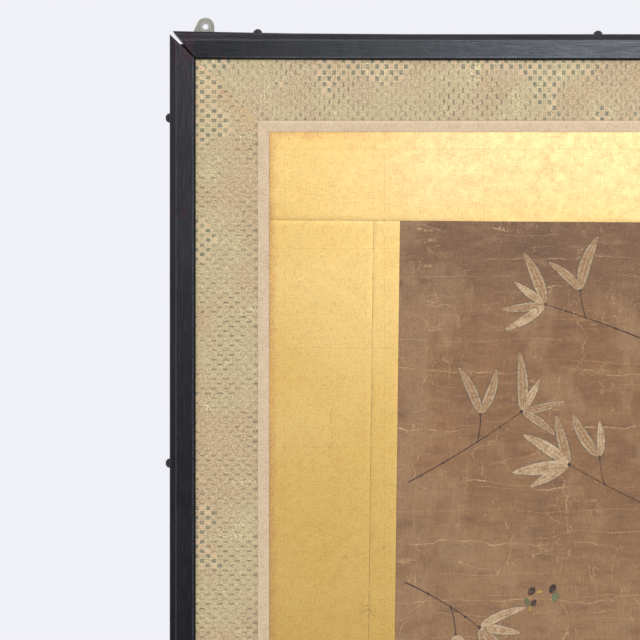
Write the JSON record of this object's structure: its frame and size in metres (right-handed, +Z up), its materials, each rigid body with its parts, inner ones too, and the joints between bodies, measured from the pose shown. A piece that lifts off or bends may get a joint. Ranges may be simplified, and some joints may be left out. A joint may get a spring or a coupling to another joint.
{
  "type": "folding screen",
  "caption": "Folding screen of paper-hinged panels with lattice cores, brocade borders, gold leaf grounds and silk paintings in lacquered frames.",
  "frame": {"origin": "on the floor, at the middle of the standing screen's footprint", "axes": "+Z up; -Y towards the viewer, whom the painted faces turn towards; +X to the viewer's right"},
  "size_m": [1.6346, 0.4827, 1.703],
  "materials": {
    "cedar": "plain sawn cedar",
    "lining_paper": "layered mulberry paper",
    "back_paper": "block-printed backing paper, aged",
    "brocade": "woven silk brocade with gold thread",
    "silk_band": "plain pale silk",
    "painting_silk": "brown painted silk, aged",
    "gold_leaf": "gold leaf on paper, squares and creases showing",
    "black_lacquer": "black lacquer, worn to red-brown at the mitres",
    "black_iron": "blackened iron",
    "zinc_plate": "zinc-plated steel, dulled",
    "hinge_paper": "gilded mulberry paper"
  },
  "bodies": {
    "left_panel": {"left_core_fold_stile": "cedar", "left_core_outer_stile": "cedar", "left_core_bottom_rail": "cedar", "left_core_top_rail": "cedar", "left_core_vertical_ribs": "cedar", "left_core_horizontal_ribs": "cedar", "left_front_lining": "lining_paper", "left_back_lining": "lining_paper", "left_back_paper": "back_paper", "left_brocade_side": "brocade", "left_brocade_top": "brocade", "left_brocade_bottom": "brocade", "left_silk_band_side": "silk_band", "left_silk_band_top": "silk_band", "left_silk_band_bottom": "silk_band", "left_painting_silk": "painting_silk", "left_gold_leaf_top": "gold_leaf", "left_gold_leaf_bottom": "gold_leaf", "left_gold_leaf_side": "gold_leaf", "left_gold_leaf_strip": "gold_leaf", "left_gold_leaf_fold": "gold_leaf", "left_frame_stile": "black_lacquer", "left_frame_top_rail": "black_lacquer", "left_frame_bottom_rail": "black_lacquer", "left_stile_tacks": "black_iron", "left_top_rail_tacks": "black_iron", "left_wall_plate": "zinc_plate", "left_wall_plate_screws": "zinc_plate", "left_paper_hinge": "hinge_paper"},
    "right_panel": {"right_core_fold_stile": "cedar", "right_core_outer_stile": "cedar", "right_core_bottom_rail": "cedar", "right_core_top_rail": "cedar", "right_core_vertical_ribs": "cedar", "right_core_horizontal_ribs": "cedar", "right_front_lining": "lining_paper", "right_back_lining": "lining_paper", "right_back_paper": "back_paper", "right_brocade_side": "brocade", "right_brocade_top": "brocade", "right_brocade_bottom": "brocade", "right_silk_band_side": "silk_band", "right_silk_band_top": "silk_band", "right_silk_band_bottom": "silk_band", "right_painting_silk": "painting_silk", "right_gold_leaf_top": "gold_leaf", "right_gold_leaf_bottom": "gold_leaf", "right_gold_leaf_side": "gold_leaf", "right_gold_leaf_strip": "gold_leaf", "right_gold_leaf_fold": "gold_leaf", "right_frame_stile": "black_lacquer", "right_frame_top_rail": "black_lacquer", "right_frame_bottom_rail": "black_lacquer", "right_stile_tacks": "black_iron", "right_top_rail_tacks": "black_iron", "right_wall_plate": "zinc_plate", "right_wall_plate_screws": "zinc_plate", "right_paper_hinge": "hinge_paper"}
  },
  "joints": [
    {"name": "panel_fold", "type": "hinge", "parent": "left_panel", "child": "right_panel", "pos_m": [0, 0.22113, 0.8405], "axis": [0, 0, -1], "range_deg": [-60, 120]}
  ]
}
